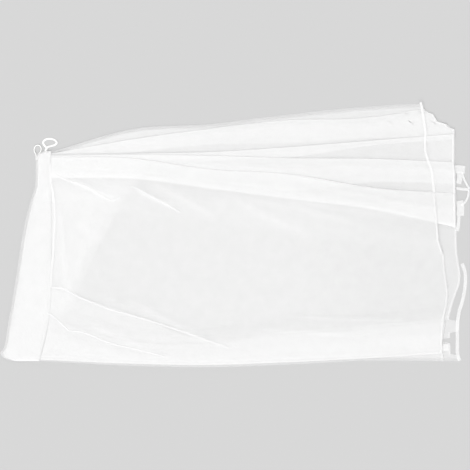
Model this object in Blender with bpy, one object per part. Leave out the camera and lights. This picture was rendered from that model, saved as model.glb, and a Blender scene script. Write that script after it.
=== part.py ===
# Camping mosquito net, box shaped, folded and laid flat on its back.
#
# The net is a wall strip, sewn round a roof panel, with a tape loop and a ring of cord
# at one corner to hang it by. It lies with the roof at -X, the hems at +X and the layers
# of the walls pleated along both long sides. Lengths below are in millimetres.
# The frame: X runs from the roof to the hems, Y across the folded width, Z up from the
# surface that it lies on, with the origin under the middle of the whole outline.

import math

import bmesh
import bpy

MM = 0.001

# The cloth and how its layers lie on each other.
SHEET_THICKNESS = 1.0
LAYER_PITCH = 1.5
FOLD_STEPS = 3
SEAM_GAP = 0.8
ROOF_FOLD_SETBACK = 4.0

# The seam that joins roof and walls, and how it swings out towards the lower corner.
SEAM_X = -686.0
SEAM_SWING = 45.0
SEAM_SWING_FROM_Y = -200.0
SEAM_SWING_TO_Y = -471.0

# Sections of the walls, from the seam to the hems.
WALL_SECTIONS = 18

# The pair of roof layers inside the net lifts the cloth above it. That lift fades here.
LIFTED_LEVEL = 3
LIFT_LAYERS = 2.0
LIFT_FADE_FROM_X = -300.0
LIFT_FADE_TO_X = 60.0

# The top layer rides over the pleats and sinks between them.
TOP_LEVEL = 11.0
TUCK_LEVEL = 6.0
FREE_LEVEL = 4.3
SUNK_LEVEL = 3.2
RAMP_START = 25.0
STACK_RAMP = 110.0
TUCK_RAMP = 50.0
SINK_START = 0.14

# Folds of the wall strip, in the order in which the cloth runs. Each row is a fold, or a
# free edge at both ends. The six y values stand at 0, 0.2, 0.4, 0.6, 0.8 and 1 of the way
# from the seam to the hem. The last three belong to the layer that leaves the fold: its
# level in the stack, its place from the front hem (0) to the back hem (1), and its steps.
WALL_FOLDS = (
    # name              y0     y1     y2     y3     y4     y5   level hem  steps
    ("lower free edge", -200, -294, -392, -362, -339, -313, 3, 0.75, 3),
    ("bottom fold", -472, -489, -496, -486, -471, -474, 0, 1.00, 22),
    ("top fold", 313, 397, 416, 448, 476, 495, 3, 0.92, 2),
    ("rim pleat low", 275, 309, 339, 345, 364, 367, 4, 0.80, 2),
    ("rim pleat high", 305, 358, 399, 429, 437, 472, 5, 0.72, 4),
    ("slit pleat low", 234, 257, 276, 292, 336, 358, 6, 0.60, 2),
    ("slit pleat high", 300, 305, 311, 330, 354, 378, 7, 0.52, 3),
    ("middle pleat low", 223, 234, 197, 167, 197, 193, 8, 0.40, 3),
    ("middle pleat high", 296, 300, 296, 287, 285, 272, 9, 0.32, 4),
    ("inner pleat low", 212, 210, 172, 133, 94, 28, 10, 0.12, 3),
    ("inner pleat high", 290, 287, 246, 227, 178, 156, 11, 0.00, 20),
    ("front fold", -467, -480, -487, -478, -463, -444, 5, 0.15, 3),
    ("tuck fold", -313, -396, -407, -373, -354, -324, 4, 0.35, 3),
    ("upper free edge", -441, -456, -463, -441, -433, -418, 4, 0.45, 0),
)

# The hems: where the frontmost and the hindmost layer end, from the top edge down.
HEMS = (
    # y    front  back
    (500, 694, 697),
    (456, 701, 739),
    (414, 710, 784),
    (384, 714, 821),
    (261, 729, 832),
    (167, 744, 880),
    (118, 750, 880),
    (73, 753, 855),
    (17, 758, 836),
    (-58, 771, 836),
    (-103, 783, 851),
    (-152, 788, 866),
    (-208, 791, 855),
    (-276, 788, 836),
    (-339, 782, 836),
    (-444, 772, 842),
    (-500, 769, 844),
)

# Rows of the roof, from the top edge down. Its six layers fold at the outline and twice a
# little inside it, and one pair reaches in past the seam, between the layers of the walls.
ROOF_ROWS = (
    # y   outline second third reach
    (313, -716, -711, -713, -4),
    (304, -739, -731, -735, -4),
    (291, -746, -737, -741, 366),
    (261, -746, -737, -742, 356),
    (212, -746, -737, -742, 330),
    (182, -748, -737, -742, 308),
    (129, -765, -746, -756, 266),
    (54, -784, -761, -773, 229),
    (-21, -799, -776, -788, 188),
    (-96, -810, -787, -799, 150),
    (-171, -821, -799, -810, 118),
    (-219, -829, -806, -818, 97),
    (-264, -836, -814, -827, 90),
    (-313, -846, -825, -836, 40),
    (-358, -853, -836, -846, -4),
    (-399, -859, -844, -851, -4),
    (-426, -866, -851, -859, -4),
    (-441, -879, -859, -868, -4),
    (-459, -870, -851, -859, -4),
    (-472, -832, -817, -825, -4),
)
ROOF_LAYERS = (
    # level steps
    (5, 6),
    (4, 3),
    (3, 3),
    (2, 5),
    (1, 5),
    (0, 3),
)

# The hanging loops at the upper corner, flat bands with a short root at the roof.
LOOP_THICKNESS = 1.2
LOOP_SIDES = 40
HANGING_LOOPS = (
    # name           centre x, y   half width, height  band  root angle, half angle, end y
    ("tape_loop", -694.0, 347.5, 31.0, 17.0, 8.0, 238.0, 14.0, 313.4),
    ("cord_ring", -739.0, 323.0, 16.5, 16.5, 8.5, 255.0, 14.0, 290.0),
)

NET_WHITE = (0.90, 0.90, 0.90, 1.0)
TAPE_WHITE = (0.93, 0.93, 0.92, 1.0)
CLOTH_ROUGHNESS = 0.85


def mix(low, high, share):
    return low + (high - low) * share


def ramp(value, start, stop):
    """0 at start and beyond, 1 at stop and beyond, with soft ends."""
    share = min(1.0, max(0.0, (value - start) / (stop - start)))
    return share * share * (3.0 - 2.0 * share)


def along(values, share):
    """A smooth curve through equally spaced values, read at a share from 0 to 1."""
    last = len(values) - 1
    place = min(max(share * last, 0.0), last - 1e-9)
    cell = int(place)
    t = place - cell
    p1 = values[cell]
    p2 = values[cell + 1]
    p0 = values[cell - 1] if cell > 0 else 2.0 * p1 - p2
    p3 = values[cell + 2] if cell + 2 <= last else 2.0 * p2 - p1
    slope1 = (p2 - p0) / 2.0
    slope2 = (p3 - p1) / 2.0
    square = t * t
    cube = square * t
    return (
        (2.0 * cube - 3.0 * square + 1.0) * p1
        + (cube - 2.0 * square + t) * slope1
        + (3.0 * square - 2.0 * cube) * p2
        + (cube - square) * slope2
    )


def seam_x(y):
    """The seam between roof and walls, which swings out towards the lower corner."""
    swing = max(0.0, (SEAM_SWING_FROM_Y - y) / (SEAM_SWING_FROM_Y - SEAM_SWING_TO_Y))
    return SEAM_X - SEAM_SWING * swing * swing


def hem_x(y, place):
    """Where a layer ends at height y, between the front hem (0) and the back hem (1)."""
    for above, below in zip(HEMS, HEMS[1:]):
        if y >= below[0]:
            break
    share = min(1.0, max(0.0, (above[0] - y) / (above[0] - below[0])))
    front = mix(above[1], below[1], share)
    back = mix(above[2], below[2], share)
    return mix(front, back, place)


def fold_y(name, share):
    row = next(fold for fold in WALL_FOLDS if fold[0] == name)
    return along(row[1:7], share)


def level_height(level, x):
    """Middle height of a layer. Cloth above the roof pair settles where the pair ends."""
    lift = LIFT_LAYERS if level >= LIFTED_LEVEL else 0.0
    settled = level - lift * ramp(x, LIFT_FADE_FROM_X, LIFT_FADE_TO_X)
    return settled * LAYER_PITCH + SHEET_THICKNESS / 2.0


def top_level(y, share):
    """Level of the top layer: high over the pleats, sunk between them, level at the seam."""
    stack = fold_y("inner pleat low", share)
    free = fold_y("lower free edge", share)
    tuck = fold_y("tuck fold", share)
    on_stack = ramp(y, stack - RAMP_START - STACK_RAMP, stack - RAMP_START)
    on_free = ramp(y, free + RAMP_START + TUCK_RAMP, free + RAMP_START)
    on_tuck = ramp(y, tuck + RAMP_START + TUCK_RAMP, tuck + RAMP_START)
    level = max(
        mix(SUNK_LEVEL, TOP_LEVEL, on_stack),
        mix(SUNK_LEVEL, FREE_LEVEL, on_free),
        mix(SUNK_LEVEL, TUCK_LEVEL, on_tuck),
    )
    at_seam = 1.0 - ramp(share, 0.0, SINK_START)
    return mix(level, max(level, TUCK_LEVEL), at_seam)


def turn(place, heading, height_before, height_after):
    """Points of a fold between two layers, as (place, height, share of the turn)."""
    radius = abs(height_after - height_before) / 2.0
    middle = (height_before + height_after) / 2.0
    points = []
    for step in range(1, FOLD_STEPS):
        angle = math.pi * step / FOLD_STEPS
        out = place - heading * radius + heading * radius * math.sin(angle)
        up = middle + (height_before - middle) * math.cos(angle)
        points.append((out, up, step / FOLD_STEPS))
    return radius, points


def wall_height(level, x, y, share):
    """Middle height of a wall layer. Only the top one sinks between the pleats."""
    if level == TOP_LEVEL:
        level = top_level(y, share)
    return level_height(level, x)


def wall_section(share):
    """Middle line of the wall strip across the folded width, at a share of its height."""
    points = []
    inset_before = 0.0
    for fold, following in zip(WALL_FOLDS, WALL_FOLDS[1:]):
        level, place, steps = fold[7:10]
        y_from = along(fold[1:7], share)
        y_to = along(following[1:7], share)
        heading = 1.0 if y_to > y_from else -1.0
        inset, bend = 0.0, []
        if following[9] > 0:
            x_end = mix(seam_x(y_to), hem_x(y_to, place), share)
            height_here = wall_height(level, x_end, y_to, share)
            height_next = wall_height(following[7], x_end, y_to, share)
            inset, bend = turn(y_to, heading, height_here, height_next)
        start = y_from + heading * inset_before
        stop = y_to - heading * inset
        for step in range(steps + 1):
            y = mix(start, stop, step / steps)
            x = mix(seam_x(y), hem_x(y, place), share)
            points.append((x, y, wall_height(level, x, y, share)))
        for y, height, passed in bend:
            x = mix(seam_x(y), hem_x(y, mix(place, following[8], passed)), share)
            points.append((x, y, height))
        inset_before = inset
    return points


def roof_section(row):
    """Middle line of the roof along X at one row, from its top seam to its lower seam."""
    y, outline, second, third, reach = row
    seam = seam_x(y)
    edge = seam - SEAM_GAP
    tucked = seam - ROOF_FOLD_SETBACK
    stops = (edge, outline, tucked, second, seam + reach, third, edge)
    points = []
    inset_before = 0.0
    for index, (level, steps) in enumerate(ROOF_LAYERS):
        x_from = stops[index]
        x_to = stops[index + 1]
        heading = 1.0 if x_to > x_from else -1.0
        height = level * LAYER_PITCH + SHEET_THICKNESS / 2.0
        if index + 1 < len(ROOF_LAYERS):
            below = ROOF_LAYERS[index + 1][0] * LAYER_PITCH + SHEET_THICKNESS / 2.0
            inset, bend = turn(x_to, heading, height, below)
        else:
            inset, bend = 0.0, []
        start = x_from + heading * inset_before
        stop = x_to - heading * inset
        rise = 0.0
        if index == 0:
            rise = (top_level(y, 0.0) - level) * LAYER_PITCH
        for step in range(steps + 1):
            share = step / steps
            points.append((mix(start, stop, share), y, height + rise * (1.0 - ramp(share, 0.0, 1.0))))
        for x, up, _ in bend:
            points.append((x, y, up))
        inset_before = inset
    return points


def skins(section, across):
    """Both faces of a cloth whose middle line is section, in the plane of across and Z."""
    last = len(section) - 1
    half = SHEET_THICKNESS / 2.0
    pairs = []
    for index, point in enumerate(section):
        normals = []
        for a, b in ((index - 1, index), (index, index + 1)):
            if a < 0 or b > last:
                continue
            run = section[b][across] - section[a][across]
            rise = section[b][2] - section[a][2]
            length = math.hypot(run, rise)
            normals.append((-rise / length, run / length))
        out = sum(normal[0] for normal in normals) / len(normals)
        up = sum(normal[1] for normal in normals) / len(normals)
        size = math.hypot(out, up)
        reach = half / (size * size)
        sides = []
        for sign in (1.0, -1.0):
            moved = list(point)
            moved[across] += sign * out * reach
            moved[2] += sign * up * reach
            sides.append(tuple(moved))
        pairs.append(sides)
    return pairs


def add_object(name, vertices, faces, material):
    """One closed mesh object in metres, with its faces pointing out."""
    mesh = bpy.data.meshes.new(name)
    mesh.from_pydata([[value * MM for value in vertex] for vertex in vertices], [], faces)
    shape = bmesh.new()
    shape.from_mesh(mesh)
    bmesh.ops.recalc_face_normals(shape, faces=shape.faces)
    shape.to_mesh(mesh)
    shape.free()
    mesh.materials.append(material)
    item = bpy.data.objects.new(name, mesh)
    bpy.context.scene.collection.objects.link(item)
    return item


def folded_sheet(name, sections, across, material):
    """A closed cloth lofted through sections that all have the same number of points."""
    rings = [skins(section, across) for section in sections]
    rows = len(rings)
    columns = len(rings[0])
    vertices = [corner for ring in rings for pair in ring for corner in pair]

    def at(row, column, side):
        return (row * columns + column) * 2 + side

    faces = []
    for row in range(rows - 1):
        for column in range(columns - 1):
            for side in (0, 1):
                faces.append((
                    at(row, column, side),
                    at(row + 1, column, side),
                    at(row + 1, column + 1, side),
                    at(row, column + 1, side),
                ))
        for column in (0, columns - 1):
            faces.append((
                at(row, column, 0),
                at(row, column, 1),
                at(row + 1, column, 1),
                at(row + 1, column, 0),
            ))
    for row in (0, rows - 1):
        for column in range(columns - 1):
            faces.append((
                at(row, column, 0),
                at(row, column + 1, 0),
                at(row, column + 1, 1),
                at(row, column, 1),
            ))
    return add_object(name, vertices, faces, material)


def hanging_loop(row, material):
    """A flat band loop on the surface, whose root runs down to the roof's edge."""
    name, middle_x, middle_y, half_width, half_height, band, root_angle, root_half, end_y = row
    outer = []
    inner = []
    for step in range(LOOP_SIDES):
        degrees = 360.0 * step / LOOP_SIDES
        angle = math.radians(degrees)
        inner.append((
            middle_x + (half_width - band) * math.cos(angle),
            middle_y + (half_height - band) * math.sin(angle),
        ))
        x = middle_x + half_width * math.cos(angle)
        y = middle_y + half_height * math.sin(angle)
        if abs(degrees - root_angle) <= root_half:
            y = end_y
        outer.append((x, y))
    vertices = []
    for height in (0.0, LOOP_THICKNESS):
        for outline in (outer, inner):
            vertices += [(x, y, height) for x, y in outline]
    faces = []
    for step in range(LOOP_SIDES):
        after = (step + 1) % LOOP_SIDES
        rings = [start * LOOP_SIDES for start in range(4)]
        for first, second in ((0, 1), (1, 3), (3, 2), (2, 0)):
            faces.append((
                rings[first] + step,
                rings[first] + after,
                rings[second] + after,
                rings[second] + step,
            ))
    return add_object(name, vertices, faces, material)


def cloth(name, colour):
    material = bpy.data.materials.new(name)
    material.use_nodes = True
    shader = material.node_tree.nodes["Principled BSDF"]
    shader.inputs["Base Color"].default_value = colour
    shader.inputs["Roughness"].default_value = CLOTH_ROUGHNESS
    shader.inputs["Metallic"].default_value = 0.0
    return material


def centre_outline(items):
    """Moves every mesh so that the middle of the whole outline stands over the origin."""
    corners = [vertex.co for item in items for vertex in item.data.vertices]
    shift_x = -(min(c.x for c in corners) + max(c.x for c in corners)) / 2.0
    shift_y = -(min(c.y for c in corners) + max(c.y for c in corners)) / 2.0
    for item in items:
        for vertex in item.data.vertices:
            vertex.co.x += shift_x
            vertex.co.y += shift_y


def main():
    for item in list(bpy.data.objects):
        bpy.data.objects.remove(item, do_unlink=True)
    shares = [index / WALL_SECTIONS for index in range(WALL_SECTIONS + 1)]
    walls = folded_sheet(
        "walls",
        [wall_section(share) for share in shares],
        1,
        cloth("wall net", NET_WHITE),
    )
    roof = folded_sheet(
        "roof",
        [roof_section(row) for row in ROOF_ROWS],
        0,
        cloth("roof net", NET_WHITE),
    )
    loops = [hanging_loop(row, cloth(row[0], TAPE_WHITE)) for row in HANGING_LOOPS]
    centre_outline([walls, roof] + loops)


main()
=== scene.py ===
# Looks of the folded camping mosquito net: sheer cloth, hems, seams and hanging loops.
import math

import bpy
import numpy as np
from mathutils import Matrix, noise


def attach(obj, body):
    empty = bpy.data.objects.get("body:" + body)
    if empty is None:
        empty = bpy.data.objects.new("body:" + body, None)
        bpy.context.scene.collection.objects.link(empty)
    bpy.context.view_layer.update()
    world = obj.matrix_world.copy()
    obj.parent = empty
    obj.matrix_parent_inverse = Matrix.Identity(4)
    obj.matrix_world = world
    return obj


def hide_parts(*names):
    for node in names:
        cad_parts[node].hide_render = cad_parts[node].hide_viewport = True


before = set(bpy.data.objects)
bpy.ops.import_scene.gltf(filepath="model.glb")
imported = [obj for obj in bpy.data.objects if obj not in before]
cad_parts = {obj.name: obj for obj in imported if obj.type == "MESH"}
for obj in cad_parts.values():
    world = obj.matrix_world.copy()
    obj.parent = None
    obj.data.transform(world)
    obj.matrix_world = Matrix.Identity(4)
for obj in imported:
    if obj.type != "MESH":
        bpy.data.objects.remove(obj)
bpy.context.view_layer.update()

mm = 0.001
scene = bpy.context.scene


def deselectAll():
    for item in list(bpy.context.selected_objects):
        item.select_set(False)


deselectAll()

# Camera: straight above, at the photo's angle
cameraSetup = {
    "floorAcross": 1.7625,  # metres of floor from one side of the picture to the other
    "lens": 85.0,
    "sensor": 36.0,
    "farClip": 50.0,
}
cameraData = bpy.data.cameras.new("topCamera")
cameraData.lens = cameraSetup["lens"]
cameraData.sensor_width = cameraSetup["sensor"]
cameraData.clip_end = cameraSetup["farClip"]
camera = bpy.data.objects.new("topCamera", cameraData)
scene.collection.objects.link(camera)
camera.location.z = cameraSetup["floorAcross"] * cameraSetup["lens"] / cameraSetup["sensor"]
scene.camera = camera
print("camera ready")


# Small sums that all the cloth uses
def mix(low, high, share):
    return low + (high - low) * share


def ramp(value, start, stop):
    share = min(1.0, max(0.0, (value - start) / (stop - start)))
    return share * share * (3.0 - 2.0 * share)


def smoothRow(values, share):  # a smooth curve through equally spaced values
    last = len(values) - 1
    place = min(max(share * last, 0.0), last - 1e-9)
    cell = int(place)
    t = place - cell
    p1 = values[cell]
    p2 = values[cell + 1]
    p0 = values[cell - 1] if cell > 0 else 2.0 * p1 - p2
    p3 = values[cell + 2] if cell + 2 <= last else 2.0 * p2 - p1
    slopeOne = (p2 - p0) / 2.0
    slopeTwo = (p3 - p1) / 2.0
    square = t * t
    cube = square * t
    return (
        (2.0 * cube - 3.0 * square + 1.0) * p1
        + (cube - 2.0 * square + t) * slopeOne
        + (3.0 * square - 2.0 * cube) * p2
        + (cube - square) * slopeTwo
    )


def tableAt(rows, y, column):  # rows run from high y to low y
    if y >= rows[0][0]:
        return rows[0][column]
    for above, below in zip(rows, rows[1:]):
        if y >= below[0]:
            share = (above[0] - y) / (above[0] - below[0])
            return mix(above[column], below[column], share)
    return rows[-1][column]


# Wall strip: the folds of the cloth, all in millimetres
wallNet = {
    "shift": (-0.3, 0.47),  # moves the whole outline over the origin
    "pitch": 1.5,
    "half": 0.5,
    "seamX": -686.0,
    "seamSwing": 45.0,
    "swingFrom": -200.0,
    "swingTo": -471.0,
    "rows": 214,
    "turnSteps": 4,  # steps round a fold, of the walls and of the roof
    "liftedLevel": 3,
    "liftLayers": 2.0,
    "liftFrom": -300.0,
    "liftTo": 60.0,
    "topLevel": 11.0,
    "tuckLevel": 6.0,
    "freeLevel": 4.3,
    "sunkLevel": 3.2,
    "rampStart": 25.0,
    "stackRamp": 110.0,
    "tuckRamp": 50.0,
    "sinkStart": 0.14,
    "hemWidth": 8.5,
    "hemDrop": 0.5,
    "hemRows": 3,
    "fineTo": 0.45,  # columns of the lowest layer are finer beside its fold, where the hem is ragged
    "fineScale": 0.38,
    "closeGap": 1.0,  # a column close to each fold keeps its shading narrow
    "closeShare": 0.3,
    "thinReach": 2.0,  # the cloth is drawn full again this many widths from a fold
    "bendThin": 0.8,
    "flat": (3.1, 1.52),
    "area": 4.05,
    # name, y at six places from the seam to the hem, level, hem place, columns,
    # and how thin the cloth is drawn at the fold and over what width
    "folds": (
        ("lower free edge", -200, -294, -392, -362, -339, -313, 3, 0.12, 20, 1.0, 10),
        ("bottom fold", -472, -489, -496, -486, -471, -474, 0, 1.00, 110, 0.55, 7),
        ("top fold", 313, 397, 416, 448, 476, 495, 3, 1.00, 14, 0.35, 8),
        ("rim pleat low", 275, 309, 339, 345, 364, 367, 4, 0.99, 9, 0.8, 16),
        ("rim pleat high", 305, 358, 399, 429, 437, 472, 5, 0.98, 12, 0.8, 12),
        ("slit pleat low", 234, 257, 276, 292, 336, 358, 6, 0.97, 6, 0.9, 10),
        ("slit pleat high", 300, 305, 311, 330, 354, 378, 7, 0.96, 16, 0.9, 10),
        ("middle pleat low", 223, 234, 197, 167, 197, 193, 8, 0.95, 12, 0.8, 20),
        ("middle pleat high", 296, 300, 296, 287, 285, 272, 9, 0.94, 22, 0.8, 20),
        ("inner pleat low", 212, 210, 172, 133, 94, 28, 10, 0.93, 12, 1.0, 10),
        ("inner pleat high", 290, 287, 246, 227, 178, 156, 11, 0.00, 112, 0.75, 35),
        ("front fold", -467, -480, -487, -478, -463, -444, 5, 0.06, 14, 0.8, 7),
        ("tuck fold", -313, -396, -407, -373, -354, -324, 4, 0.10, 9, 0.6, 30),
        ("upper free edge", -441, -456, -463, -441, -433, -418, 4, 0.08, 0, 0.8, 10),
    ),
    # y, front hem, back hem
    "hems": (
        (500, 699, 700),
        (493, 701, 702),
        (459, 712, 714),
        (457, 712, 742),
        (448, 713, 746),
        (422, 717, 761),
        (420, 717, 795),
        (403, 719, 795),
        (400, 720, 825),
        (336, 717, 825),
        (298, 722, 825),
        (261, 735, 825),
        (234, 742, 829),
        (186, 746, 829),
        (92, 754, 830),
        (36, 758, 831),
        (-21, 762, 832),
        (-51, 773, 833),
        (-81, 784, 836),
        (-133, 788, 845),
        (-152, 791, 848),
        (-189, 796, 842),
        (-223, 799, 829),
        (-264, 795, 815),
        (-302, 784, 805),
        (-319, 782, 804),
        (-322, 782, 842),
        (-361, 779, 842),
        (-365, 779, 808),
        (-386, 778, 808),
        (-389, 778, 771),
        (-401, 777, 771),
        (-404, 777, 808),
        (-448, 776, 810),
        (-452, 775, 842),
        (-500, 773, 846),
    ),
}


def seamAt(y):
    net = wallNet
    swing = max(0.0, (net["swingFrom"] - y) / (net["swingFrom"] - net["swingTo"]))
    return net["seamX"] - net["seamSwing"] * swing * swing


def hemAt(y, place):
    front = tableAt(wallNet["hems"], y, 1)
    back = tableAt(wallNet["hems"], y, 2)
    return mix(front, back, place)


def foldAt(name, share):
    row = next(fold for fold in wallNet["folds"] if fold[0] == name)
    return smoothRow(row[1:7], share)


def levelHeight(level, x):  # cloth above the tucked roof settles where the roof ends
    net = wallNet
    lift = net["liftLayers"] if level >= net["liftedLevel"] else 0.0
    settled = level - lift * ramp(x, net["liftFrom"], net["liftTo"])
    return settled * net["pitch"] + net["half"]


def topLevelAt(y, share):
    net = wallNet
    stack = foldAt("inner pleat low", share)
    free = foldAt("lower free edge", share)
    tuck = foldAt("tuck fold", share)
    onStack = ramp(y, stack - net["rampStart"] - net["stackRamp"], stack - net["rampStart"])
    onFree = ramp(y, free + net["rampStart"] + net["tuckRamp"], free + net["rampStart"])
    onTuck = ramp(y, tuck + net["rampStart"] + net["tuckRamp"], tuck + net["rampStart"])
    level = max(
        mix(net["sunkLevel"], net["topLevel"], onStack),
        mix(net["sunkLevel"], net["freeLevel"], onFree),
        mix(net["sunkLevel"], net["tuckLevel"], onTuck),
    )
    atSeam = 1.0 - ramp(share, 0.0, net["sinkStart"])
    return mix(level, max(level, net["tuckLevel"]), atSeam)


def wallLevel(level, y, share):
    return topLevelAt(y, share) if level == wallNet["topLevel"] else level


def bendOf(stop, heading, here, after):  # a fold's inset, and place, height and share passed round it
    turns = wallNet["turnSteps"]
    inset = abs(after - here) / 2.0
    bend = []
    for step in range(1, turns):
        angle = math.pi * step / turns
        out = stop - heading * inset * (1.0 - math.sin(angle))
        up = mix(here, after, (1.0 - math.cos(angle)) / 2.0)
        bend.append((out, up, step / turns))
    return inset, bend


def columnParts(level, steps, width):  # where the columns of a layer stand, as shares of its width
    net = wallNet
    parts = [step / steps for step in range(steps + 1)]
    if level == 0:
        change = net["fineTo"]
        scale = net["fineScale"]
        parts = [
            part * scale if part < change
            else mix(change * scale, 1.0, (part - change) / (1.0 - change))
            for part in parts
        ]
    close = min(net["closeGap"] / width, net["closeShare"] * parts[1])
    return parts[:1] + [close] + parts[1:-1] + [1.0 - close] + parts[-1:]


def wallRow(share):  # points of one row across the folded width: x, y, z, level, share of cover left
    net = wallNet
    folds = net["folds"]
    points = []
    insetBefore = 0.0
    for fold, following in zip(folds, folds[1:]):
        level, place, steps = fold[7:10]
        yFrom = smoothRow(fold[1:7], share)
        yTo = smoothRow(following[1:7], share)
        heading = 1.0 if yTo > yFrom else -1.0
        inset, bend = 0.0, []
        if following[9] > 0:
            xEnd = mix(seamAt(yTo), hemAt(yTo, place), share)
            here = levelHeight(wallLevel(level, yTo, share), xEnd)
            after = levelHeight(wallLevel(following[7], yTo, share), xEnd)
            inset, bend = bendOf(yTo, heading, here, after)
        start = yFrom + heading * insetBefore
        stop = yTo - heading * inset
        for part in columnParts(level, steps, abs(stop - start)):
            y = mix(start, stop, part)
            x = mix(seamAt(y), hemAt(y, place), share)
            thin = 1.0
            for end, (least, width) in ((yFrom, fold[10:]), (yTo, following[10:])):
                thin *= mix(least, 1.0, ramp(abs(y - end), width, width * net["thinReach"]))
            points.append((x, y, levelHeight(wallLevel(level, y, share), x), level, thin))
        for y, up, passed in bend:
            x = mix(seamAt(y), hemAt(y, mix(place, following[8], passed)), share)
            thin = following[10] * net["bendThin"]
            points.append((x, y, up, mix(level, following[7], passed), thin))
        insetBefore = inset
    return points


# Creases of the cloth: soft ridges, placed one by one
creaseShape = {
    "fade": 0.25,  # share of a crease over which each end fades
    "bow": 4.0,
    "bowTurns": 1.5,
}
# each is x, y at one end, x, y at the other, width and rise in millimetres
creases = (
    (-640, 210, -420, 130, 9, 1.6),
    (-380, 180, -205, 88, 8, 1.5),
    (-340, 210, -60, 60, 16, 0.9),
    (-60, 165, 330, -30, 20, 0.9),
    (-20, 150, 480, 40, 14, 0.9),
    (100, 140, 700, 60, 16, 1.0),
    (150, 235, 690, 150, 14, 1.1),
    (-200, 270, 600, 215, 12, 1.1),
    (300, 180, 740, 95, 10, 1.0),
    (420, 120, 745, 45, 9, 0.9),
    (180, -300, 700, -330, 7, 0.9),
    (60, -345, 560, -385, 9, 0.8),
    (-420, -240, -40, -420, 12, 1.0),
    (-560, -330, -300, -440, 16, 1.1),
    (-640, -60, -610, -260, 14, 0.8),
    (-600, 60, -480, -30, 22, 0.8),
    (-655, 150, -640, -200, 10, 0.9),
    (-540, 150, -590, -190, 20, 0.8),
)


def reliefOf(places):  # places is an array of x, y in millimetres
    shape = creaseShape
    rise = np.zeros(len(places))
    for x1, y1, x2, y2, width, height in creases:
        along = np.array((x2 - x1, y2 - y1), dtype=float)
        length = math.hypot(*along)
        along /= length
        offset = places - np.array((x1, y1), dtype=float)
        run = offset @ along
        side = offset @ np.array((-along[1], along[0]))
        ends = shape["fade"] * length
        fade = np.clip(run / ends, 0.0, 1.0) * np.clip((length - run) / ends, 0.0, 1.0)
        bow = shape["bow"] * np.sin(run / length * math.pi * shape["bowTurns"] + x1)
        rise += height * fade * np.exp(-(((side - bow) / width) ** 2))
    return rise


# Crumples: scale along x and along y, place in the noise, and strength in millimetres
crumples = ((0.006, 0.014, 3.7, 0.9), (0.014, 0.03, 9.1, 0.3))


def crumpleOf(places):  # slow swells and small crumples that lie along the net
    return np.array([
        sum(
            noise.noise((x * along, y * across, at)) * strength
            for along, across, at, strength in crumples
        )
        for x, y in places
    ])


clothRelief = {
    "lift": 0.6,
    "lowShare": 0.15,  # share of the relief that is left in the lowest layer
    "least": 0.35,
}


def relieved(heights, places, level):  # heights with creases and crumples, and the creases alone
    relief = clothRelief
    ridge = reliefOf(places)
    lift = ridge + crumpleOf(places) + relief["lift"]
    share = np.clip(level / wallNet["topLevel"], 0.0, 1.0)
    raised = heights + lift * mix(relief["lowShare"], 1.0, share)
    return np.maximum(raised, relief["least"]), ridge


def addMesh(name, points, faces, uv, cover, smooth=True):
    mesh = bpy.data.meshes.new(name)
    mesh.from_pydata([tuple(point) for point in points], [], faces)
    layer = mesh.uv_layers.new(name="cloth")
    corners = np.empty(len(mesh.loops), dtype=np.int32)
    mesh.loops.foreach_get("vertex_index", corners)
    layer.data.foreach_set("uv", np.asarray(uv, dtype=np.float32)[corners].ravel())
    attribute = mesh.attributes.new("cover", "FLOAT", "POINT")
    attribute.data.foreach_set("value", np.asarray(cover, dtype=np.float32))
    if smooth:
        mesh.shade_smooth()
    piece = bpy.data.objects.new(name, mesh)
    scene.collection.objects.link(piece)
    print(name, len(faces), "faces")
    return piece


def gridFaces(rows, columns):
    faces = []
    for row in range(rows - 1):
        for column in range(columns - 1):
            first = row * columns + column
            faces.append((first, first + columns, first + columns + 1, first + 1))
    return faces


netCover = {
    "layer": 0.435,  # share of the view that one layer of net covers
    "most": 0.95,
    "sparse": 0.13,  # how much thinner the long layers are towards the hems
    "sparseFrom": 150.0,
    "sparseTo": 650.0,
    "beyond": 0.10,  # added where the lowest layer shows past the front hem
    "gather": 0.10,  # how much denser the pleats are beside the roof
    "gatherFrom": -686.0,
    "gatherTo": 200.0,
    "gatherAbove": 100.0,
    "hem": 0.16,
    "crease": 0.07,
    "wallCreases": 9.5,  # levels above which creases change the cover
    "roofCreases": 4.5,
}


def addCloth(name, grid, height, along, cover):  # a sheet of the grid, with its cloth map in metres
    rows, columns = grid.shape[:2]
    places = grid.reshape(-1, 5)[:, :2]
    lengths = np.linalg.norm(np.diff(grid[:, :, :3], axis=1), axis=2)
    run = np.concatenate((np.zeros((rows, 1)), np.cumsum(lengths, axis=1)), axis=1)
    uv = np.stack((run.ravel(), along), axis=1) * mm
    shift = wallNet["shift"]
    points = np.stack((places[:, 0] + shift[0], places[:, 1] + shift[1], height), axis=1) * mm
    cover = np.clip(cover, 0.0, netCover["most"])
    return addMesh(name, points, gridFaces(rows, columns), uv, cover)


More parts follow.
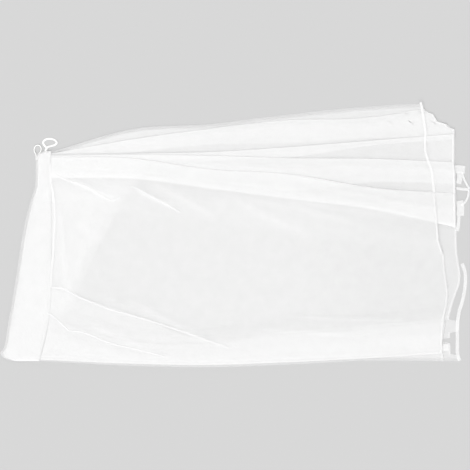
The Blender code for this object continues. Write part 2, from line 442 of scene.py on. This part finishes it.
def makeWalls():
    net = wallNet
    look = netCover
    hemRows = net["hemRows"]
    rows = [wallRow(index / (net["rows"] - 1)) for index in range(net["rows"])]
    grid = np.array(rows, dtype=float)
    back = np.repeat(grid[-1:], hemRows, axis=0)
    for index in range(hemRows):
        back[index, :, 0] -= net["hemWidth"] * index / (hemRows - 1)
        back[index, :, 2] -= net["hemDrop"]
    grid = np.concatenate((grid, back))
    flatRows = grid.reshape(-1, 5)
    places = flatRows[:, :2]
    level = flatRows[:, 3]
    height, ridge = relieved(flatRows[:, 2], places, level)
    creased = look["crease"] * ridge * (level > look["wallCreases"])
    cover = (look["layer"] + creased) * flatRows[:, 4]
    lowest = level < 0.5
    longLayer = lowest | (level > net["topLevel"] - 0.5)
    sparse = np.array([ramp(x, look["sparseFrom"], look["sparseTo"]) for x in places[:, 0]])
    cover *= 1.0 - look["sparse"] * sparse * longLayer
    gathered = np.array([1.0 - ramp(x, look["gatherFrom"], look["gatherTo"]) for x in places[:, 0]])
    cover += look["gather"] * gathered * (~longLayer & (places[:, 1] > look["gatherAbove"]))
    front = np.array([hemAt(y, 0.0) for y in places[:, 1]])
    cover += look["beyond"] * ((places[:, 0] > front) & lowest)
    atHem = np.zeros(grid.shape[:2])
    atHem[-hemRows - 1:] = 1.0
    cover += look["hem"] * atHem.ravel()
    return addCloth("wallCloth", grid, height, places[:, 0], cover)


# Roof panel, folded in at the left end
roofNet = {
    "seamGap": 0.8,
    "setback": 4.0,
    "rows": 150,
    "thinStart": 0.65,  # share of a fold's width from which the cloth is drawn fuller
    "flat": (0.98, 0.79),
    # y, outline, second fold, third fold, reach past the seam
    "table": (
        (313, -716, -711, -713, -4),
        (304, -739, -731, -735, -4),
        (291, -746, -737, -741, 366),
        (261, -746, -737, -742, 356),
        (212, -746, -737, -742, 330),
        (182, -748, -737, -742, 308),
        (129, -765, -746, -756, 266),
        (54, -784, -761, -773, 229),
        (-21, -799, -776, -788, 188),
        (-96, -810, -787, -799, 150),
        (-171, -821, -799, -810, 118),
        (-219, -829, -806, -818, 97),
        (-264, -836, -814, -827, 90),
        (-313, -846, -825, -836, 40),
        (-358, -853, -836, -846, -4),
        (-399, -859, -844, -851, -4),
        (-426, -866, -851, -859, -4),
        (-441, -879, -859, -868, -4),
        (-459, -870, -851, -859, -4),
        (-472, -832, -817, -825, -4),
    ),
    # level, columns
    "layers": ((5, 26), (4, 16), (3, 16), (2, 64), (1, 64), (0, 18)),
    # how thin the cloth is drawn at each fold, and over what width
    "ends": ((1.0, 8), (0.35, 12), (0.8, 10), (0.8, 14), (0.72, 38), (0.7, 14), (1.0, 8)),
}


def roofRow(y):  # points of one row from edge to edge of the roof: x, y, z, level, share of cover left
    net = roofNet
    outline, second, third, reach = (tableAt(net["table"], y, column) for column in (1, 2, 3, 4))
    seam = seamAt(y)
    edge = seam - net["seamGap"]
    stops = (edge, outline, seam - net["setback"], second, seam + reach, third, edge)
    pitch = wallNet["pitch"]
    half = wallNet["half"]
    points = []
    insetBefore = 0.0
    for index, (level, steps) in enumerate(net["layers"]):
        xFrom = stops[index]
        xTo = stops[index + 1]
        heading = 1.0 if xTo > xFrom else -1.0
        height = level * pitch + half
        inset, bend = 0.0, []
        if index + 1 < len(net["layers"]):
            below = net["layers"][index + 1][0] * pitch + half
            inset, bend = bendOf(xTo, heading, height, below)
        start = xFrom + heading * insetBefore
        stop = xTo - heading * inset
        rise = (topLevelAt(y, 0.0) - level) * pitch if index == 0 else 0.0
        for step in range(steps + 1):
            share = step / steps
            x = mix(start, stop, share)
            thin = 1.0
            for end in (index, index + 1):
                least, width = net["ends"][end]
                thin *= mix(least, 1.0, ramp(abs(x - stops[end]), width * net["thinStart"], width))
            points.append((x, y, height + rise * (1.0 - ramp(share, 0.0, 1.0)), level, thin))
        for turn in bend:
            thin = net["ends"][index + 1][0] * wallNet["bendThin"]
            points.append((turn[0], y, turn[1], level - 0.5, thin))
        insetBefore = inset
    return points


def makeRoof():
    net = roofNet
    look = netCover
    high = net["table"][0][0]
    low = net["table"][-1][0]
    rows = [roofRow(mix(high, low, index / (net["rows"] - 1))) for index in range(net["rows"])]
    grid = np.array(rows, dtype=float)
    flatRows = grid.reshape(-1, 5)
    level = flatRows[:, 3]
    height, ridge = relieved(flatRows[:, 2], flatRows[:, :2], level)
    creased = look["crease"] * ridge * (level > look["roofCreases"])
    cover = (look["layer"] + creased) * flatRows[:, 4]
    return addCloth("roofCloth", grid, height, flatRows[:, 1], cover)


# Net material: fine mesh of white yarn with open holes
netFinish = {
    "yarn": (0.90, 0.90, 0.90, 1.0),
    "rough": 0.75,
    "sheen": 0.15,
    "meshPitch": 0.0016,
    "meshDepth": 0.20,
    "meshRise": 0.5,
    "meshDrop": 0.2,
    "waver": 0.004,
    "waverScale": 70.0,
    "patch": 0.12,
    "patchScale": 22.0,
    "patchDetail": 2.0,
    "bump": 0.25,
    "bumpDepth": 0.0004,
}


def netMaterial(name, finish):
    material = bpy.data.materials.new(name)
    material.use_nodes = True
    nodes = material.node_tree.nodes
    links = material.node_tree.links
    shader = nodes["Principled BSDF"]
    shader.inputs["Base Color"].default_value = finish["yarn"]
    shader.inputs["Roughness"].default_value = finish["rough"]
    shader.inputs["Sheen Weight"].default_value = finish["sheen"]

    def mathNode(kind, *values):
        node = nodes.new("ShaderNodeMath")
        node.operation = kind
        for socket, value in zip(node.inputs, values):
            if isinstance(value, (int, float)):
                socket.default_value = value
            else:
                links.new(value, socket)
        return node.outputs["Value"]

    uv = nodes.new("ShaderNodeUVMap")
    uv.uv_map = "cloth"
    split = nodes.new("ShaderNodeSeparateXYZ")
    turn = 2.0 * math.pi / finish["meshPitch"]
    wander = nodes.new("ShaderNodeTexNoise")
    wander.inputs["Scale"].default_value = finish["waverScale"]
    links.new(uv.outputs["UV"], wander.inputs["Vector"])
    warp = nodes.new("ShaderNodeVectorMath")
    warp.operation = "MULTIPLY_ADD"
    warp.inputs[1].default_value = (finish["waver"],) * 3
    links.new(wander.outputs["Color"], warp.inputs[0])
    links.new(uv.outputs["UV"], warp.inputs[2])
    links.new(warp.outputs["Vector"], split.inputs["Vector"])
    along = mathNode("COSINE", mathNode("MULTIPLY", split.outputs["X"], turn))
    across = mathNode("COSINE", mathNode("MULTIPLY", split.outputs["Y"], turn))
    yarn = mathNode("MAXIMUM", along, across)
    mottle = nodes.new("ShaderNodeTexNoise")
    mottle.inputs["Scale"].default_value = finish["patchScale"]
    mottle.inputs["Detail"].default_value = finish["patchDetail"]
    place = nodes.new("ShaderNodeTexCoord")
    links.new(place.outputs["Object"], mottle.inputs["Vector"])
    attribute = nodes.new("ShaderNodeAttribute")
    attribute.attribute_name = "cover"
    depth = finish["meshDepth"]
    weave = mathNode("MULTIPLY_ADD", yarn, depth * finish["meshRise"], 1.0 - depth * finish["meshDrop"])
    patch = mathNode("MULTIPLY_ADD", mottle.outputs["Fac"], finish["patch"], 1.0 - finish["patch"] / 2.0)
    cover = mathNode("MULTIPLY", mathNode("MULTIPLY", attribute.outputs["Fac"], weave), patch)
    links.new(cover, shader.inputs["Alpha"])
    bump = nodes.new("ShaderNodeBump")
    bump.inputs["Strength"].default_value = finish["bump"]
    bump.inputs["Distance"].default_value = finish["bumpDepth"]
    links.new(mottle.outputs["Fac"], bump.inputs["Height"])
    links.new(bump.outputs["Normal"], shader.inputs["Normal"])
    return material


def topSurface(places):  # height of the uppermost cloth at each x, y
    heights = []
    roofLevel = roofNet["layers"][0][0]
    for x, y in places:
        seam = seamAt(y)
        share = (x - seam) / (hemAt(y, 0.0) - seam)
        if share >= 0.0:
            level = topLevelAt(y, min(share, 1.0))
            heights.append(levelHeight(level, x))
        else:
            outline = tableAt(roofNet["table"], y, 1)
            outside = ramp((seam - x) / max(seam - outline, 1.0), 0.0, 1.0)
            level = roofLevel + (topLevelAt(y, 0.0) - roofLevel) * (1.0 - outside)
            heights.append(level * wallNet["pitch"] + wallNet["half"])
    heights = np.array(heights)
    return relieved(heights, np.array(places, dtype=float), heights / wallNet["pitch"])[0]


def smoothPath(stops, spacing):  # even points on a smooth curve through the stops
    columns = list(zip(*stops))
    fine = 400
    rough = [
        tuple(smoothRow(column, index / fine) for column in columns)
        for index in range(fine + 1)
    ]
    lengths = [0.0]
    for one, two in zip(rough, rough[1:]):
        lengths.append(lengths[-1] + math.dist(one, two))
    count = max(2, round(lengths[-1] / spacing))
    path = []
    index = 0
    for step in range(count + 1):
        goal = lengths[-1] * step / count
        while index < len(lengths) - 2 and lengths[index + 1] < goal:
            index += 1
        share = (goal - lengths[index]) / max(lengths[index + 1] - lengths[index], 1e-9)
        path.append(tuple(mix(a, b, share) for a, b in zip(rough[index], rough[index + 1])))
    return path


def sweep(path, section):  # a closed tube of the section along the path, points in millimetres
    points = []
    faces = []
    uv = []
    count = len(section)
    travelled = 0.0
    for index, point in enumerate(path):
        before = path[max(index - 1, 0)]
        after = path[min(index + 1, len(path) - 1)]
        tangent = np.array((after[0] - before[0], after[1] - before[1]))
        tangent /= max(np.linalg.norm(tangent), 1e-9)
        side = np.array((-tangent[1], tangent[0]))
        travelled += math.dist(before, point) if index else 0.0
        for across, up in section:
            points.append((point[0] + side[0] * across, point[1] + side[1] * across, point[2] + up))
            uv.append((travelled * mm, across * mm))
    for ring in range(len(path) - 1):
        for corner in range(count):
            after = (corner + 1) % count
            first = ring * count
            faces.append((first + corner, first + after, first + count + after, first + count + corner))
    faces.append(tuple(reversed(range(count))))
    faces.append(tuple((len(path) - 1) * count + corner for corner in range(count)))
    return points, faces, uv


def joined(name, sweeps, cover, smooth=True):
    points = []
    faces = []
    uv = []
    shift = wallNet["shift"]
    for some, theirs, flat in sweeps:
        start = len(points)
        points += [((x + shift[0]) * mm, (y + shift[1]) * mm, z * mm) for x, y, z in some]
        faces += [tuple(start + corner for corner in face) for face in theirs]
        uv += flat
    return addMesh(name, points, faces, uv, [cover] * len(points), smooth)


def bandSection(half, flat, under, over):  # six corners of a flat band with thin edges
    return (
        (-half, 0.0), (-half * flat, -under), (half * flat, -under),
        (half, 0.0), (half * flat, over), (-half * flat, over),
    )


# Welts: the sewn lines that show on top of the cloth, in millimetres
weltSetup = {
    "cover": 0.42,
    "spacing": 6.0,
    "lift": 0.35,
    "flat": 0.5,
    "under": 0.2,
    # width, thickness, and the x, y points that the line runs through
    "lines": (
        (6.0, 0.3, (
            (-686, -197), (-641, -201), (-611, -219), (-581, -234), (-525, -257),
            (-469, -279), (-340, -315), (-180, -368), (-20, -425),
        )),
        (5.0, 0.3, (
            (-701, -291), (-675, -309), (-649, -332), (-619, -358), (-581, -362),
            (-536, -377), (-461, -407), (-360, -430), (-262, -456),
        )),
        (7.0, 0.15, (
            (-690, 268), (-688, 200), (-680, 150), (-674, 90),
            (-674, 36), (-679, -58), (-685, -120), (-688, -196),
        )),
        (5.0, 0.3, ((-667, 223), (-619, 201), (-551, 178), (-506, 148), (-457, 126), (-430, 140))),
        (5.0, 0.3, ((-375, 178), (-300, 137), (-206, 84))),
        (9.0, 0.3, (
            (694, 496), (699, 470), (706, 425), (712, 385), (710, 345),
            (713, 305), (724, 272), (736, 236), (740, 200), (744, 160),
        )),
    ),
}


def makeWelts():
    setup = weltSetup
    sweeps = []
    for width, thick, stops in setup["lines"]:
        path = smoothPath(stops, setup["spacing"])
        path = [(x, y, z + setup["lift"]) for (x, y), z in zip(path, topSurface(path))]
        section = bandSection(width / 2.0, setup["flat"], setup["under"], thick)
        sweeps.append(sweep(path, section))
    return joined("seamWelts", sweeps, setup["cover"], False)


# Hems: the loose strip beyond the lower fold and the bunched ends at the right, in millimetres
hemBands = {
    "cover": 0.5,
    "spacing": 6.0,
    "lift": 0.4,
    "wave": (0.5, 0.11, 0.07),  # height, and radians per millimetre along x and y
    "flat": 0.8,
    "edge": 0.1,
    "under": 0.3,
    "crown": 1.2,
    # width, thickness, height above the floor, and the x, y points
    "bands": (
        (13.0, 0.5, 1.0, (
            (851, -107), (861, -133), (864, -156), (862, -200), (853, -246),
            (840, -291), (834, -339), (834, -396), (834, -441), (842, -471),
        )),
        (30.0, 0.5, 2.4, ((820, 247), (842, 246), (862, 244))),
        (19.0, 0.5, 1.8, ((840, 236), (842, 212), (838, 192))),
        (8.0, 0.6, 2.6, ((850, 236), (860, 206), (872, 184), (879, 172))),
        (11.0, 0.6, 1.6, ((830, 175), (852, 172), (878, 171))),
        (8.0, 0.6, 2.2, ((876, 168), (874, 146), (862, 122), (846, 112))),
        (28.0, 0.5, 1.4, ((842, 128), (846, 100), (844, 72))),
        (13.0, 0.5, 1.0, ((840, 80), (838, 44), (833, 14))),
        (26.0, 0.5, 2.0, ((773, -420), (786, -421), (800, -420))),
    ),
}


def makeHems():
    setup = hemBands
    swing, alongX, alongY = setup["wave"]
    edge = setup["edge"]
    under = setup["under"]
    sweeps = []
    for width, thick, rise, stops in setup["bands"]:
        path = [
            (x, y, rise + setup["lift"] + swing * math.sin(x * alongX + y * alongY))
            for x, y in smoothPath(stops, setup["spacing"])
        ]
        half = width / 2.0
        level = half * setup["flat"]
        section = (
            (-half, edge), (-level, -under), (level, -under), (half, edge),
            (level, thick), (0.0, thick * setup["crown"]), (-level, thick),
        )
        sweeps.append(sweep(path, section))
    return joined("hemBands", sweeps, setup["cover"], False)


# Hanging loops at the upper corner, in millimetres
loopTape = {
    "width": 7.0,
    "thick": 0.9,
    "flat": 0.9,
    "spacing": 1.6,
    "path": (
        (-705, 303, 3.4), (-707, 315, 2.2), (-706, 326, 1.0), (-716, 338, 0.7), (-719, 348, 0.7),
        (-709, 358, 0.7), (-694, 360.5, 0.8), (-678, 357, 1.4), (-668, 347, 1.6), (-674, 338, 1.2),
        (-690, 333, 1.0), (-702, 329, 2.2), (-709, 318, 3.4), (-711, 303, 4.6),
    ),
}
loopCord = {
    "radius": 2.1,
    "sides": 12,
    "spacing": 1.4,
    "path": (
        (-744.5, 281, 3.0), (-744.5, 293, 2.6), (-746, 303, 2.3), (-751, 312, 2.2), (-752, 323, 2.2),
        (-747, 333, 2.2), (-739, 336.5, 2.2), (-730.5, 333.5, 2.2), (-726, 324, 2.2),
        (-728, 313, 2.3), (-734, 304, 2.4), (-738, 294, 3.4), (-739, 281, 4.0),
    ),
}


def makeTapeLoop():
    setup = loopTape
    thick = setup["thick"] * 0.5
    section = bandSection(setup["width"] / 2.0, setup["flat"], thick, thick)
    return joined("tapeLoop", [sweep(smoothPath(setup["path"], setup["spacing"]), section)], 1.0)


def makeCordRing():
    setup = loopCord
    radius = setup["radius"]
    section = []
    for step in range(setup["sides"]):
        angle = math.tau * step / setup["sides"]
        section.append((radius * math.cos(angle), -radius * math.sin(angle)))
    return joined("cordLoop", [sweep(smoothPath(setup["path"], setup["spacing"]), section)], 1.0)


# Tape material: white with fine ribs across, and painted shade between the ribs
tapeFinish = {
    "yarn": (0.93, 0.93, 0.92, 1.0),
    "rough": 0.7,
    "sheen": 0.2,
    "rib": 0.0009,
    "waveLength": 0.314,  # metres from band to band of the wave texture at scale 1
    "waver": 1.5,
    "waverScale": 2.0,
    "grooveShade": 0.9,  # painted shade between the ribs, as a share of the yarn's colour
    "bump": 0.5,
    "bumpDepth": 0.0003,
}


def tapeMaterial(name, finish):
    material = bpy.data.materials.new(name)
    material.use_nodes = True
    nodes = material.node_tree.nodes
    links = material.node_tree.links
    shader = nodes["Principled BSDF"]
    shader.inputs["Base Color"].default_value = finish["yarn"]
    shader.inputs["Roughness"].default_value = finish["rough"]
    shader.inputs["Sheen Weight"].default_value = finish["sheen"]
    uv = nodes.new("ShaderNodeUVMap")
    uv.uv_map = "cloth"
    ribs = nodes.new("ShaderNodeTexWave")
    ribs.wave_type = "BANDS"
    ribs.inputs["Scale"].default_value = finish["waveLength"] / finish["rib"]
    ribs.inputs["Distortion"].default_value = finish["waver"]
    ribs.inputs["Detail Scale"].default_value = finish["waverScale"]
    links.new(uv.outputs["UV"], ribs.inputs["Vector"])
    # painted shade: the white yarn is drawn darker between the ribs, where shade falls
    ribShade = nodes.new("ShaderNodeMix")
    ribShade.data_type = "RGBA"
    grooveShade = tuple(finish["grooveShade"] * part for part in finish["yarn"][:3])
    ribShade.inputs["A"].default_value = grooveShade + (1.0,)
    ribShade.inputs["B"].default_value = finish["yarn"]
    links.new(ribs.outputs["Fac"], ribShade.inputs["Factor"])
    links.new(ribShade.outputs["Result"], shader.inputs["Base Color"])
    bump = nodes.new("ShaderNodeBump")
    bump.inputs["Strength"].default_value = finish["bump"]
    bump.inputs["Distance"].default_value = finish["bumpDepth"]
    links.new(ribs.outputs["Fac"], bump.inputs["Height"])
    links.new(bump.outputs["Normal"], shader.inputs["Normal"])
    return material


walls = makeWalls()
roof = makeRoof()
welts = makeWelts()
hems = makeHems()
tape = makeTapeLoop()
ring = makeCordRing()

netLook = netMaterial("sheer net", netFinish)
tapeLook = tapeMaterial("white tape", tapeFinish)
for piece, look, slot in (
    (walls, netLook, "wall_net"),
    (roof, netLook, "roof_net"),
    (welts, netLook, "wall_net"),
    (hems, netLook, "wall_net"),
    (tape, tapeLook, "loop_tape"),
    (ring, tapeLook, "loop_tape"),
):
    piece.data.materials.append(look)
    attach(piece, "root")
print("materials and slots ready")
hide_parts("walls")
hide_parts("roof")
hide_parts("tape_loop")
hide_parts("cord_ring")

# Plain floor and soft studio light
studio = {
    "floor": (0.49, 0.49, 0.49, 1.0),
    "floorRough": 0.9,
    "floorSize": 30.0,
    "skyColour": (1.0, 1.0, 1.0, 1.0),
    "sky": 0.80,
    "sunPower": 2.12,
    "sunSpread": 55.0,  # degrees, so that its shadows stay soft
    "sunTurn": (28.0, -14.0, 0.0),
    "bounces": (64, 12, 24),  # transparent, diffuse, all
}


def makeStudio():
    setup = studio
    deselectAll()
    bpy.ops.mesh.primitive_plane_add(size=setup["floorSize"], location=(0.0, 0.0, 0.0))
    floor = bpy.context.object
    floor.name = "floor"
    material = bpy.data.materials.new("plain floor")
    material.use_nodes = True
    shader = material.node_tree.nodes["Principled BSDF"]
    shader.inputs["Base Color"].default_value = setup["floor"]
    shader.inputs["Roughness"].default_value = setup["floorRough"]
    floor.data.materials.append(material)
    world = bpy.data.worlds.new("softSky")
    world.use_nodes = True
    background = world.node_tree.nodes["Background"]
    background.inputs["Color"].default_value = setup["skyColour"]
    background.inputs["Strength"].default_value = setup["sky"]
    scene.world = world
    data = bpy.data.lights.new("softSun", "SUN")
    data.energy = setup["sunPower"]
    data.angle = math.radians(setup["sunSpread"])
    lamp = bpy.data.objects.new("softSun", data)
    lamp.rotation_euler = [math.radians(part) for part in setup["sunTurn"]]
    scene.collection.objects.link(lamp)
    scene.view_settings.view_transform = "Standard"
    transparent, diffuse, every = setup["bounces"]
    scene.cycles.transparent_max_bounces = transparent
    scene.cycles.diffuse_bounces = diffuse
    scene.cycles.max_bounces = every
    print("studio ready")


makeStudio()
